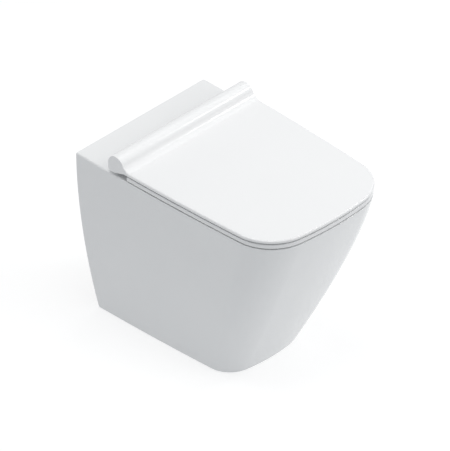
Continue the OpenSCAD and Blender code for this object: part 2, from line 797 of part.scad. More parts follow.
// Rolled barrel with its heel, the concave fillet that runs it into the plate, and its underside
module lid_barrel() {
    end_r = 0.8;
    fillet = barrel_fillet;
    under = lid_low - hinge_rise;
    top = lid_top - hinge_rise;
    // The fillet's circle touches the plate's top and the barrel
    cy = top + fillet;
    cx = sqrt(pow(barrel_r + fillet, 2) - cy * cy);
    // The heel's flat back stands just inside the barrel's circle
    back = heel_in - barrel_r;
    difference() {
        union() {
            translate([0, -hinge_back, hinge_z]) rotate([0, 90, 0]) rotate_extrude($fn = 96)
                polygon([[0, -lid_half_w], [barrel_r - end_r, -lid_half_w],
                    [barrel_r, end_r - lid_half_w], [barrel_r, lid_half_w - end_r],
                    [barrel_r - end_r, lid_half_w], [0, lid_half_w]]);
            hinge_profile(-lid_half_w, lid_half_w) difference() {
                union() {
                    polygon([[-ramp_back, -barrel_drop], [ramp_front, under],
                        [ramp_front, under + lid_low_r], [cx, under + lid_low_r], [cx, top],
                        [barrel_r * cx / (barrel_r + fillet), barrel_r * cy / (barrel_r + fillet)],
                        [0, 0], [back, 0], [back, heel_r - barrel_drop],
                        [back + heel_r, -barrel_drop]]);
                    translate([back + heel_r, heel_r - barrel_drop]) circle(r = heel_r);
                }
                translate([cx, cy]) circle(r = fillet, $fn = 96);
            }
        }
        hinge_profile(-lid_half_w - cut, lid_half_w + cut)
            polygon([[ramp_front, under], [ramp_front, -2 * barrel_r],
                [back + heel_r + cut, -2 * barrel_r], [back + heel_r + cut, -barrel_drop],
                [-ramp_back, -barrel_drop]]);
    }
}

// Hollow at one hinge, open below and behind so that the post and knuckle pass as the lid turns
module lid_pocket() {
    back_edge = 40;
    under = lid_low - hinge_rise;
    far = barrel_r + 8;
    hinge_bar(pocket_in, pocket_out, pocket_r);
    hinge_profile(pocket_in, pocket_out) polygon([[far + 12, under], [far + 12, -far], [-far, -far],
        [-far, far * tan(back_edge)], [0, 0], [0, under]]);
}

module lid() {
    color(duroplast) from_wall() difference() {
        union() {
            lid_plate();
            lid_barrel();
        }
        both_sides() {
            lid_pocket();
            cartridge_bore(pocket_out - cut, lid_damper_in + damper_l + 0.3);
        }
        both_sides() for (p = lid_buffer_places())
            translate([p[0], p[1], pan_h + lid_low - cut])
                cylinder(h = lid_stub_h + cut + ease, r = buffer_stub_r + ease / 2);
    }
}

module lid_buffers() {
    color(rubber_grey) from_wall() both_sides() for (p = lid_buffer_places())
        translate([p[0], p[1], pan_h + seat_top + rest_gap]) {
            cylinder(h = lid_gap - rest_gap, r = lid_buffer_r);
            cylinder(h = lid_gap - rest_gap + lid_stub_h, r = buffer_stub_r);
        }
}

pan();
flush_seal();
lug_plugs();
lug_bolts();
lug_washers();
floor_bracket_left();
floor_bracket_right();
expansion_sleeves();
cone_nuts();
fixing_stud_left();
fixing_stud_right();
base_gaskets();
base_plates();
hinge_post_left();
hinge_post_right();
hinge_pin_left();
hinge_pin_right();
seat();
seat_buffers();
seat_damper();
seat_bush();
lid();
lid_buffers();
lid_damper();
lid_bush();
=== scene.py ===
"""Rimless back-to-wall toilet with a slim seat and lid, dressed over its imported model.

The size tables are in millimetres. Along y they count from the wall, forward as negative
numbers, as the part's source does, and at() turns them into the row frame in metres.
"""
import json
import math

import bmesh
import bpy
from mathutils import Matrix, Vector


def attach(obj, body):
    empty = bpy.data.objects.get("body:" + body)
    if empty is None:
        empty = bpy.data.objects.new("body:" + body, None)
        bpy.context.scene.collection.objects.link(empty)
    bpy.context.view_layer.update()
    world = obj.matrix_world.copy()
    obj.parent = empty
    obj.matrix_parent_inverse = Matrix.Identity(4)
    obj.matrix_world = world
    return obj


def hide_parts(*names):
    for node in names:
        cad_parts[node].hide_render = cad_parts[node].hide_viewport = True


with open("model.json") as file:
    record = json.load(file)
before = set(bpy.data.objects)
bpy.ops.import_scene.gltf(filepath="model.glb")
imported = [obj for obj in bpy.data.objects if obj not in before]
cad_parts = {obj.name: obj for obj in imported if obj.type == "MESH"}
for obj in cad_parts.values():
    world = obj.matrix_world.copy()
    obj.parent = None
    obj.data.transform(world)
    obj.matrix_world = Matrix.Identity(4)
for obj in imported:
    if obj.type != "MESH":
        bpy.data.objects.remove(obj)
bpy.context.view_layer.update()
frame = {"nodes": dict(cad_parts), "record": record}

MM = 0.001
WALL_Y = 273.0

# Outside of the pan
PAN_W, PAN_D, PAN_H = 360.0, 544.0, 407.0
FOOT_W, FOOT_D = 231.0, 364.0
RIM_CORNER_R, FOOT_CORNER_R = 95.0, 56.0
RIM_FRONT_R, FOOT_FRONT_R = 740.0, 410.0
SIDE_R, SIDE_SPLAY = 6000.0, 1.0
SIDE_POWER, FRONT_POWER, CORNER_POWER = 1.7, 1.19, 1.36
RIM_EDGE_R, DECK_EDGE_R, RIM_R, REAR_R, FOOT_R = 1.4, 4.0, 3.2, 2.0, 2.0
EDGE_BLEND_FROM, EDGE_BLEND_L = -140.0, 30.0
DECK_T, SKIRT_T, FOOT_T, FOOT_TAPER_H = 14.0, 12.0, 22.0, 40.0
# Bowl
MOUTH_HALF_W, MOUTH_BACK, MOUTH_FRONT, MOUTH_POWER = 140.0, 184.0, 504.0, 3.6
LEDGE_Z, LEDGE_W, WATER_H, BOWL_T = 361.0, 14.0, 168.0, 11.0
SUMP_H, SUMP_BACK, SUMP_HALF_W = 62.0, 272.0, 56.0
WINDOW_W, WINDOW_H = 116.0, 14.0
# Trap, outlet and flush horn
TRAP_R, TRAP_WALL, TRAP_IN_Z, TRAP_RISE_Y, TRAP_BEND_R = 28.0, 10.0, 90.0, -175.0, 50.0
CREST_Z, CREST_BEND_R, CREST_Y = 196.0, 48.0, -127.0
OUTLET_Z, OUTLET_R, OUTLET_BORE_R, OUTLET_END = 180.0, 51.0, 41.0, -18.0
OUTLET_STEP, OUTLET_L = 3.0, 67.0
INLET_Z, INLET_R, HORN_WALL, INLET_FACE, CHAMBER_BACK = 335.0, 27.5, 9.0, -14.0, 128.0
# Inside the skirt: web, lugs at the foot, bosses for the holes of the seat
WEB_LOW, WEB_HIGH, WEB_FRONT, WEB_REAR = 140.0, 216.0, -117.0, -107.0
LUG_IN, LUG_OUT, LUG_H, LUG_FRONT, LUG_REAR = 88.5, 110.5, 62.0, -194.0, -146.0
LUG_BOLT_Y, LUG_BOLT_Z, LUG_HOLE_R, LUG_HOLE_END = -170.0, 38.0, 5.5, 108.5
BOSS_R, BOSS_H, SEAT_HOLE_R = 15.0, 12.0, 7.0
# Hinge line
HINGE_Y, HINGE_Z, HINGE_X, BARREL_R = -114.5, 433.5, 77.5, 21.2
HINGE = (0, HINGE_Y, HINGE_Z)
PIN_R, PIN_HALF_L, POST_R, POST_FOOT_Z = 4.0, 33.5, 7.0, 411.2
HINGE_BORE_R, LID_BORE_OUT = 8.0, 129.8
KNUCKLE_R, KNUCKLE_IN, KNUCKLE_OUT = 11.0, 19.0, 66.0
KNUCKLE_BORE_IN, KNUCKLE_BORE_OUT = 20.9, 56.0
# Seat, lid and their pads
SEAT_LOW, SEAT_TOP, SEAT_PROUD, SEAT_BACK, SEAT_EDGE_R = 409.9, 419.2, 0.0, 141.0, 0.6
SEAT_LOW_R, SEAT_BACK_R = 1.5, 5.0
SEAT_OPEN_HALF_W, SEAT_OPEN_BACK, SEAT_OPEN_FRONT, SEAT_OPEN_POWER = 114.0, 192.0, 474.0, 2.7
LID_LOW, LID_TOP, LID_PROUD, LID_LOW_R, LID_EDGE_R = 423.7, 429.9, 2.0, 0.5, 3.5
FILLET_R, BARREL_DROP, HEEL_R, BARREL_END_R = 22.0, 19.0, 8.0, 1.2
RAMP_BACK, RAMP_FRONT, RAMP_R = 4.0, 24.0, 20.0
POCKET_R, POCKET_IN, POCKET_OUT = 16.0, 16.0, 94.0
STUB_R, SEAT_STUB_H, LID_STUB_H = 3.5, 5.0, 3.0
REST_GAP = 0.15
SEAT_PADS = ((144, -173), (142, -354))
LID_PADS = ((146, -231), (94, -500))


def at(x, y, z):
    """Point in the row frame, in metres, from sizes counted from the wall."""
    return Vector((x * MM, (y + WALL_Y) * MM, z * MM))


# Forms in plan

def ease(s):
    """Slow start and end between 0 and 1."""
    return s * s * (3 - 2 * s)


def from_foot(foot, rim, t, power):
    return rim - (rim - foot) * max(1 - t, 0) ** power


def outline(t, inset, start=0.0, side_n=36, corner_n=30, front_n=14):
    """Pan outline at height t (0 floor, 1 rim), from the right rear round the front to the left rear."""
    w = from_foot(FOOT_W, PAN_W, t, SIDE_POWER) / 2
    d = from_foot(FOOT_D, PAN_D, t, FRONT_POWER)
    rc = from_foot(FOOT_CORNER_R, RIM_CORNER_R, t, CORNER_POWER)
    rf = from_foot(FOOT_FRONT_R, RIM_FRONT_R, t, CORNER_POWER)
    splay = math.radians(SIDE_SPLAY * t)
    side = (w - SIDE_R * math.cos(splay), -SIDE_R * math.sin(splay))
    front = (0.0, rf - d)
    a, b = SIDE_R - rc, rf - rc
    gx, gy = front[0] - side[0], front[1] - side[1]
    gap = math.hypot(gx, gy)
    ex, ey = gx / gap, gy / gap
    along = (a * a - b * b + gap * gap) / (2 * gap)
    off = math.sqrt(a * a - along * along)
    corner = (side[0] + along * ex + off * ey, side[1] + along * ey - off * ex)
    a0 = math.asin((-start - side[1]) / (SIDE_R - inset))
    a1 = math.atan2(corner[1] - side[1], corner[0] - side[0])
    a2 = math.atan2(corner[1] - front[1], corner[0] - front[0])
    half = []
    for centre, r, lo, hi, n in ((side, SIDE_R, a0, a1, side_n), (corner, rc, a1, a2, corner_n),
                                 (front, rf, a2, -math.pi / 2, front_n)):
        for i in range(n):
            q = lo + (hi - lo) * i / n
            half.append((centre[0] + (r - inset) * math.cos(q), centre[1] + (r - inset) * math.sin(q)))
    tip = (0.0, front[1] - (rf - inset))
    return half + [tip] + [(-x, y) for x, y in reversed(half)]


def with_back(points, corner_r, back_n=26, round_n=5):
    """Closes an outline with a straight rear edge and rounds its two rear corners."""
    x0, y0 = points[0]
    arc = [(x0 - corner_r + corner_r * math.cos(q), y0 - corner_r + corner_r * math.sin(q))
           for q in (math.pi / 2 * i / round_n for i in range(round_n + 1))]
    left = [(-x, y) for x, y in arc]
    edge = [(-arc[-1][0] + 2 * arc[-1][0] * i / back_n, y0) for i in range(1, back_n)]
    return [arc[0]] + points[1:-1] + left + edge + arc[:0:-1]


def oval_towards(points, level):
    """Points of a squared oval on the rays from the oval's middle to the given points."""
    half_w, back, front, power = level
    cy, half_l = -(back + front) / 2, (front - back) / 2
    ring = []
    for x, y in points:
        q = math.atan2(y - cy, x)
        r = (abs(math.cos(q) / half_w) ** power + abs(math.sin(q) / half_l) ** power) ** (-1 / power)
        ring.append((r * math.cos(q), cy + r * math.sin(q)))
    return ring


def smooth_rows(rows, steps):
    """Rows of numbers run through by a smooth curve, with the given steps between each two."""
    knots = [0.0]
    for p, q in zip(rows, rows[1:]):
        knots.append(knots[-1] + max(math.hypot(q[0] - p[0], q[1] - p[1]), 0.01) ** 0.5)
    out = []
    last = len(rows) - 1
    for i in range(last):
        p0, p1, p2, p3 = rows[max(i - 1, 0)], rows[i], rows[i + 1], rows[min(i + 2, last)]
        t1, t2 = knots[i], knots[i + 1]
        t0 = knots[i - 1] if i > 0 else t1 - (t2 - t1)
        t3 = knots[i + 2] if i + 2 <= last else t2 + (t2 - t1)
        for k in range(steps):
            t = t1 + (t2 - t1) * k / steps
            row = []
            for a, b, c, d in zip(p0, p1, p2, p3):
                ab = (t1 - t) / (t1 - t0) * a + (t - t0) / (t1 - t0) * b
                bc = (t2 - t) / (t2 - t1) * b + (t - t1) / (t2 - t1) * c
                cd = (t3 - t) / (t3 - t2) * c + (t - t2) / (t3 - t2) * d
                abc = (t2 - t) / (t2 - t0) * ab + (t - t0) / (t2 - t0) * bc
                bcd = (t3 - t) / (t3 - t1) * bc + (t - t1) / (t3 - t1) * cd
                row.append((t2 - t) / (t2 - t1) * abc + (t - t1) / (t2 - t1) * bcd)
            out.append(row)
    return out + [list(rows[-1])]


# Modelling tools

def deselect():
    if bpy.context.object and bpy.context.object.mode != "OBJECT":
        bpy.ops.object.mode_set(mode="OBJECT")
    bpy.ops.object.select_all(action="DESELECT")


def pick(piece):
    deselect()
    piece.select_set(True)
    bpy.context.view_layer.objects.active = piece


def stack(name, rings, loop=False):
    """A circle shaped to the first ring and extruded ring by ring. A loop closes on its first ring."""
    deselect()
    bpy.ops.mesh.primitive_circle_add(vertices=len(rings[0]), radius=0.1,
                                      fill_type="NOTHING" if loop else "NGON")
    piece = bpy.context.object
    piece.name = piece.data.name = name
    bpy.ops.object.mode_set(mode="EDIT")
    bpy.ops.mesh.select_mode(type="EDGE" if loop else "FACE")
    bpy.ops.mesh.select_all(action="SELECT")
    mesh = bmesh.from_edit_mesh(piece.data)
    place = mesh.verts.layers.int.new("place")
    for i, v in enumerate(mesh.verts):
        v[place] = i
        v.co = rings[0][i]
    for ring in rings[1:]:
        bpy.ops.mesh.extrude_region_move()
        mesh = bmesh.from_edit_mesh(piece.data)
        place = mesh.verts.layers.int["place"]
        for v in mesh.verts:
            if v.select:
                v.co = ring[v[place]]
    if loop:
        bpy.ops.mesh.select_all(action="SELECT")
        bpy.ops.mesh.remove_doubles(threshold=1e-6)
    bpy.ops.mesh.select_all(action="SELECT")
    bpy.ops.mesh.normals_make_consistent(inside=False)
    mesh = bmesh.from_edit_mesh(piece.data)
    mesh.verts.layers.int.remove(mesh.verts.layers.int["place"])
    bmesh.update_edit_mesh(piece.data)
    bpy.ops.object.mode_set(mode="OBJECT")
    return piece


def flat_ring(points, z):
    return [at(x, y, z) for x, y in points]


def low_edge(shape, r, z, step=18):
    """Rings of a rounded lower edge, where shape gives the outline for an inset."""
    turns = [math.radians(q) for q in range(0, 91, step)]
    return [flat_ring(shape(r * (1 - math.sin(a))), z + r * (1 - math.cos(a))) for a in turns]


def top_edge(shape, r, z, step=10):
    """Rings of a rounded upper edge, where shape gives the outline for an inset."""
    turns = [math.radians(q) for q in range(0, 91, step)]
    return [flat_ring(shape(r * (1 - math.cos(a))), z - r * (1 - math.sin(a))) for a in turns]


def turned(name, middle, profile, axis="Z", count=48):
    """Round piece about an axis through middle, from (radius, distance along the axis) pairs."""
    rings = []
    for r, h in profile:
        ring = []
        for i in range(count):
            q = 2 * math.pi * i / count
            c, s = r * math.cos(q), r * math.sin(q)
            step = {"Z": (c, s, h), "X": (h, c, s), "Y": (s, h, c)}[axis]
            ring.append(at(middle[0] + step[0], middle[1] + step[1], middle[2] + step[2]))
        rings.append(ring)
    return stack(name, rings)


def block(name, low, high):
    """Box between two corners, counted from the wall."""
    deselect()
    lo, hi = at(*low), at(*high)
    bpy.ops.mesh.primitive_cube_add(size=1, location=(lo + hi) / 2)
    piece = bpy.context.object
    piece.name = piece.data.name = name
    piece.scale = hi - lo
    bpy.ops.object.transform_apply(location=True, rotation=True, scale=True)
    return piece


def hinge_prism(name, profile, x0, x1):
    """Prism along x from a profile of (forward, up) points about the hinge axis."""
    return stack(name, [[at(x, HINGE_Y - f, HINGE_Z + u) for f, u in profile] for x in (x0, x1)])


def paint(piece, material):
    piece.data.materials.clear()
    piece.data.materials.append(material)
    return piece


def combine(piece, tool, how):
    """Boolean of a piece with a tool, which is used up. Cut faces keep the tool's material."""
    pick(piece)
    bpy.ops.object.modifier_add(type="BOOLEAN")
    mod = piece.modifiers[-1]
    mod.operation, mod.object, mod.solver, mod.material_mode = how, tool, "MANIFOLD", "TRANSFER"
    bpy.ops.object.modifier_apply(modifier=mod.name)
    bpy.data.objects.remove(tool)
    return piece


def join(pieces):
    pick(pieces[0])
    for p in pieces[1:]:
        p.select_set(True)
    bpy.ops.object.join()
    return bpy.context.object


def clean(piece):
    """Merges points that a cut left on top of each other, and closes an end face lost by that."""
    tolerance = 2e-6
    pick(piece)
    bpy.ops.object.mode_set(mode="EDIT")
    bpy.ops.mesh.select_all(action="SELECT")
    bpy.ops.mesh.remove_doubles(threshold=tolerance)
    bpy.ops.mesh.dissolve_degenerate(threshold=tolerance)
    bpy.ops.mesh.select_all(action="SELECT")
    bpy.ops.mesh.fill_holes(sides=0)
    bpy.ops.object.mode_set(mode="OBJECT")
    return piece


def shade(piece, angle=35.0):
    """Smooth shading up to an angle, with flat faces kept flat."""
    pick(piece)
    bpy.ops.object.shade_smooth_by_angle(angle=math.radians(angle))
    bpy.ops.object.modifier_add(type="WEIGHTED_NORMAL")
    mod = piece.modifiers[-1]
    mod.keep_sharp, mod.mode = True, "FACE_AREA"
    bpy.ops.object.modifier_apply(modifier=mod.name)
    return piece


def soften(piece, width, angle=30.0, segments=3):
    """Rounds the sharp edges of a piece."""
    pick(piece)
    bpy.ops.object.modifier_add(type="BEVEL")
    mod = piece.modifiers[-1]
    mod.width, mod.segments, mod.limit_method = width * MM, segments, "ANGLE"
    mod.angle_limit, mod.use_clamp_overlap, mod.harden_normals = math.radians(angle), True, False
    bpy.ops.object.modifier_apply(modifier=mod.name)
    return piece


def fit(piece, body, slot, *nodes):
    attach(piece, body)
    if nodes:
        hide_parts(*nodes)
    return piece


# Materials

def new_material(name):
    material = bpy.data.materials.new(name)
    material.use_nodes = True
    nodes, links = material.node_tree.nodes, material.node_tree.links
    shader = nodes["Principled BSDF"]
    coords = nodes.new("ShaderNodeTexCoord")
    return material, nodes, links, shader, coords


def noise(nodes, links, coords, scale, detail=3.0, rough=0.5, stretch=(1, 1, 1)):
    mapping = nodes.new("ShaderNodeMapping")
    mapping.inputs["Scale"].default_value = stretch
    links.new(coords.outputs["Object"], mapping.inputs["Vector"])
    texture = nodes.new("ShaderNodeTexNoise")
    texture.inputs["Scale"].default_value = scale
    texture.inputs["Detail"].default_value = detail
    texture.inputs["Roughness"].default_value = rough
    links.new(mapping.outputs["Vector"], texture.inputs["Vector"])
    return texture.outputs["Fac"]


def spread(nodes, links, value, low, high, target):
    """Turns a noise value into a range and feeds it to a shader input."""
    span = nodes.new("ShaderNodeMapRange")
    span.inputs["From Min"].default_value, span.inputs["From Max"].default_value = 0.3, 0.7
    span.inputs["To Min"].default_value, span.inputs["To Max"].default_value = low, high
    links.new(value, span.inputs["Value"])
    links.new(span.outputs["Result"], target)


def tint(nodes, links, value, dark, light, target):
    mix = nodes.new("ShaderNodeMix")
    mix.data_type = "RGBA"
    mix.inputs["A"].default_value = (*dark, 1)
    mix.inputs["B"].default_value = (*light, 1)
    links.new(value, mix.inputs["Factor"])
    links.new(mix.outputs["Result"], target)


def relief(nodes, links, value, strength, height, target):
    bump = nodes.new("ShaderNodeBump")
    bump.inputs["Strength"].default_value = strength
    bump.inputs["Distance"].default_value = height
    links.new(value, bump.inputs["Height"])
    links.new(bump.outputs["Normal"], target)


def plain_finish(name, dark, light, rough, metallic=0.0, tone_scale=9.0, grain_scale=300.0,
                 grain=0.15, height=0.0001, stretch=(1, 1, 1), sheen=0.0):
    """Finish with a slight drift of tone, uneven gloss and a fine relief."""
    material, nodes, links, shader, coords = new_material(name)
    tone = noise(nodes, links, coords, tone_scale, 2.0)
    fine = noise(nodes, links, coords, grain_scale, 4.0, 0.6, stretch)
    tint(nodes, links, tone, dark, light, shader.inputs["Base Color"])
    spread(nodes, links, fine, rough[0], rough[1], shader.inputs["Roughness"])
    relief(nodes, links, fine, grain, height, shader.inputs["Normal"])
    shader.inputs["Metallic"].default_value = metallic
    shader.inputs["IOR"].default_value = 1.5
    shader.inputs["Sheen Weight"].default_value = sheen
    return material


GLAZE = plain_finish("glazed_china", (0.80, 0.805, 0.81), (0.83, 0.833, 0.835), (0.05, 0.09),
                     tone_scale=7.0, grain_scale=75.0, grain=0.035, height=0.0002)
BARE_CHINA = plain_finish("bare_china", (0.66, 0.64, 0.60), (0.74, 0.72, 0.69), (0.55, 0.75),
                          tone_scale=18.0, grain_scale=420.0, grain=0.35, height=0.0003)
DUROPLAST = plain_finish("duroplast", (0.83, 0.832, 0.835), (0.85, 0.852, 0.855), (0.11, 0.16),
                         tone_scale=6.0, grain_scale=160.0, grain=0.03, height=0.0001)
CHROME = plain_finish("polished_hinge_metal", (0.70, 0.71, 0.72), (0.78, 0.79, 0.80), (0.08, 0.16),
                      metallic=1.0, grain_scale=500.0, grain=0.03)
STEEL = plain_finish("bright_fixing_steel", (0.50, 0.51, 0.52), (0.60, 0.61, 0.62), (0.28, 0.42),
                     metallic=1.0, grain_scale=260.0, grain=0.08, stretch=(1, 1, 12))
ZINC = plain_finish("zinc_plated_steel", (0.52, 0.54, 0.56), (0.66, 0.67, 0.68), (0.32, 0.55),
                    metallic=0.9, tone_scale=60.0, grain_scale=140.0, grain=0.12)
BLACK_RUBBER = plain_finish("black_rubber", (0.018, 0.018, 0.02), (0.035, 0.035, 0.037), (0.62, 0.8),
                            grain_scale=700.0, grain=0.3, sheen=0.1)
BUFFER_RUBBER = plain_finish("translucent_buffer_rubber", (0.60, 0.60, 0.585), (0.68, 0.68, 0.67),
                             (0.38, 0.55), grain_scale=500.0, grain=0.12)
NYLON = plain_finish("natural_nylon", (0.68, 0.67, 0.64), (0.75, 0.745, 0.72), (0.38, 0.5),
                     grain_scale=380.0, grain=0.1)
DAMPER_PLASTIC = plain_finish("damper_plastic", (0.06, 0.06, 0.065), (0.10, 0.10, 0.105),
                              (0.35, 0.5), grain_scale=420.0, grain=0.12)
SLOT_FINISH = {"fixing_steel": STEEL, "zinc_steel": ZINC, "black_rubber": BLACK_RUBBER,
               "buffer_rubber": BUFFER_RUBBER, "nylon": NYLON, "damper_plastic": DAMPER_PLASTIC,
               "hinge_metal": CHROME}


# Pan

def bowl_rows():
    """Bowl from its mouth down, as [half width, height, back, front, square power]."""
    w, b, f, u = MOUTH_HALF_W, MOUTH_BACK, MOUTH_FRONT, LEDGE_W
    low_b, low_f, low = SUMP_BACK - 50, SUMP_BACK + 96, LEDGE_Z - 4
    rows = [[w, PAN_H - RIM_R, b, f, MOUTH_POWER],
            [w - 0.8, PAN_H - 14, b + 0.8, f - 0.8, MOUTH_POWER],
            [w - 1, PAN_H - 30, b + 1, f - 1, MOUTH_POWER],
            [w - 0.6, LEDGE_Z + 6, b + 0.6, f - 0.6, MOUTH_POWER],
            [w - 1.6, LEDGE_Z + 1.8, b + 1.6, f - 1.6, 3.55],
            [w - 5, LEDGE_Z, b + 5, f - 5, 3.5],
            [w - u + 3.5, LEDGE_Z - 1, b + u - 3.5, f - u + 3.5, 3.45],
            [w - u, low, b + u, f - u, 3.4]]
    for s in (0.94, 0.82, 0.64, 0.46, 0.28, 0.12):
        rows.append([SUMP_HALF_W + (w - u - SUMP_HALF_W) * s ** 0.66, WATER_H + (low - WATER_H) * s,
                     low_b + (b + u - low_b) * s ** 1.6, low_f + (f - u - low_f) * s ** 0.72,
                     2.3 + 1.1 * s])
    return rows + [[SUMP_HALF_W, WATER_H, low_b, low_f, 2.3],
                   [SUMP_HALF_W - 5, WATER_H - 22, low_b + 2, low_f - 13, 2.2],
                   [46, (SUMP_H + WATER_H) / 2, low_b + 5, low_f - 36, 2.1],
                   [38, SUMP_H + 16, SUMP_BACK - 41, SUMP_BACK + 46, 2],
                   [31, SUMP_H + 4, SUMP_BACK - 33, SUMP_BACK + 34, 2],
                   [20, SUMP_H - 0.3, SUMP_BACK - 22, SUMP_BACK + 22, 2]]


def pan_edge(q):
    """One ring of the pan's top edge: tight under the seat, fuller beside the bare deck."""
    up = math.sin(math.radians(q))
    k = 1 - math.cos(math.radians(q))
    tight, full = (with_back(outline(1, r * k, REAR_R / 2 * k), REAR_R)
                   for r in (RIM_EDGE_R, DECK_EDGE_R))
    ring = []
    for (x0, y0), (x1, y1) in zip(tight, full):
        s = ease(min(1.0, max(0.0, (y0 - EDGE_BLEND_FROM) / EDGE_BLEND_L)))
        r = RIM_EDGE_R + (DECK_EDGE_R - RIM_EDGE_R) * s
        ring.append(at(x0 + (x1 - x0) * s, y0 + (y1 - y0) * s, PAN_H - r * (1 - up)))
    return ring


def pan_body():
    """Outer skin, deck, mouth and bowl as one run of rings."""
    rim = with_back(outline(1, 0), REAR_R)
    rings = low_edge(lambda inset: with_back(outline(0, inset), REAR_R), FOOT_R, 0)
    top = PAN_H - DECK_EDGE_R - 0.4
    for i in range(1, 61):
        z = FOOT_R + (top - FOOT_R) * i / 60
        rings.append(flat_ring(with_back(outline(z / PAN_H, 0), REAR_R), z))
    rings += [pan_edge(q) for q in range(0, 91, 10)]
    edge = with_back(outline(1, DECK_EDGE_R + 1.0, REAR_R / 2 + 1.0), REAR_R)
    rings.append(flat_ring(edge, PAN_H))
    mouth = oval_towards(rim, (MOUTH_HALF_W + RIM_R + 1.0, MOUTH_BACK - RIM_R - 1.0,
                               MOUTH_FRONT + RIM_R + 1.0, MOUTH_POWER))
    for s in (0.35, 0.7, 1.0):
        rings.append(flat_ring([(p[0] + (m[0] - p[0]) * s, p[1] + (m[1] - p[1]) * s)
                                for p, m in zip(edge, mouth)], PAN_H))
    for q in range(0, 91, 15):
        a = math.radians(q)
        k = RIM_R * (1 - math.sin(a))
        mouth = (MOUTH_HALF_W + k, MOUTH_BACK - k, MOUTH_FRONT + k, MOUTH_POWER)
        rings.append(flat_ring(oval_towards(rim, mouth), PAN_H - RIM_R * (1 - math.cos(a))))
    for w, z, b, f, n in smooth_rows(bowl_rows(), 4)[1:]:
        rings.append(flat_ring(oval_towards(rim, (w, b, f, n)), z))
    rings.append(flat_ring(oval_towards(rim, (8, SUMP_BACK - 9, SUMP_BACK + 9, 2)), SUMP_H - 0.8))
    return stack("pan_china", rings)


def skirt_space():
    """Space inside the skirt, open to the floor and past the wall."""
    def ring(z, inset):
        o = outline(max(z, 0) / PAN_H, inset, side_n=18, corner_n=14, front_n=8)
        return flat_ring([(o[0][0], 2.0)] + o + [(-o[0][0], 2.0)], z)
    top = PAN_H - DECK_T
    rings = [ring(-2, FOOT_T), ring(FOOT_TAPER_H / 3, FOOT_T)]
    rings += [ring(FOOT_TAPER_H + (top - FOOT_TAPER_H) * i / 20, SKIRT_T) for i in range(21)]
    return stack("skirt_space", rings)


def bowl_shell():
    """Outside of the bowl, hidden under the deck."""
    rows = bowl_rows()
    keep = [rows[i] for i in (19, 17, 16, 14, 12, 11, 10, 9, 7)]
    outer = []
    for i, (w, z, b, f, n) in enumerate(keep):
        outer.append([w + BOWL_T, z - (BOWL_T if i < 7 else BOWL_T / 2), b - BOWL_T, f + BOWL_T, n])
    outer.append([MOUTH_HALF_W - 1 + BOWL_T, PAN_H - DECK_T / 2, MOUTH_BACK + 1 - BOWL_T,
                  MOUTH_FRONT - 1 + BOWL_T, MOUTH_POWER])
    rays = [(math.cos(2 * math.pi * i / 96), math.sin(2 * math.pi * i / 96)) for i in range(96)]
    rings = []
    for w, z, b, f, n in smooth_rows(outer, 3):
        cy = -(b + f) / 2
        rings.append(flat_ring(oval_towards([(x, cy + y) for x, y in rays], (w, b, f, n)), z))
    return stack("bowl_shell", rings)


def trap_path(r, out_r, widen_from, tail):
    """Rings along the trap as (y, z, lean, radius). It ends on the (y, radius) pairs of the tail."""
    way = [(-262.0, TRAP_IN_Z, 0.0, r), (TRAP_RISE_Y - TRAP_BEND_R, TRAP_IN_Z, 0.0, r)]
    cy, cz = TRAP_RISE_Y - TRAP_BEND_R, TRAP_IN_Z + TRAP_BEND_R
    for i in range(1, 17):
        q = math.pi / 2 * i / 16
        way.append((cy + TRAP_BEND_R * math.sin(q), cz - TRAP_BEND_R * math.cos(q), q, r))
    cy, cz = CREST_Y, CREST_Z - CREST_BEND_R
    for i in range(0, 16):
        q = math.pi / 2 * (1 - i / 16)
        way.append((cy - CREST_BEND_R * math.sin(q), cz + CREST_BEND_R * math.cos(q), q, r))
    span = 42.0
    for i in range(0, 13):
        s = i / 12
        e = ease(s)
        drop = -(CREST_Z - OUTLET_Z) * e
        lean = math.atan2(-(CREST_Z - OUTLET_Z) * 6 * s * (1 - s), span)
        way.append((widen_from + span * s, CREST_Z + drop, lean, r + (out_r - r) * e))
    return way + [(y, OUTLET_Z, 0.0, tail_r) for y, tail_r in tail]


def trap_tube(name, way, count=56):
    rings = []
    for y, z, lean, r in way:
        ring = []
        for i in range(count):
            q = 2 * math.pi * (i + 0.5) / count
            c, s = r * math.cos(q), r * math.sin(q)
            ring.append(at(c, y - s * math.sin(lean), z + s * math.cos(lean)))
        rings.append(ring)
    return stack(name, rings)


def mid_wall(z):
    return from_foot(FOOT_W, PAN_W, z / PAN_H, SIDE_POWER) / 2 - SKIRT_T / 2


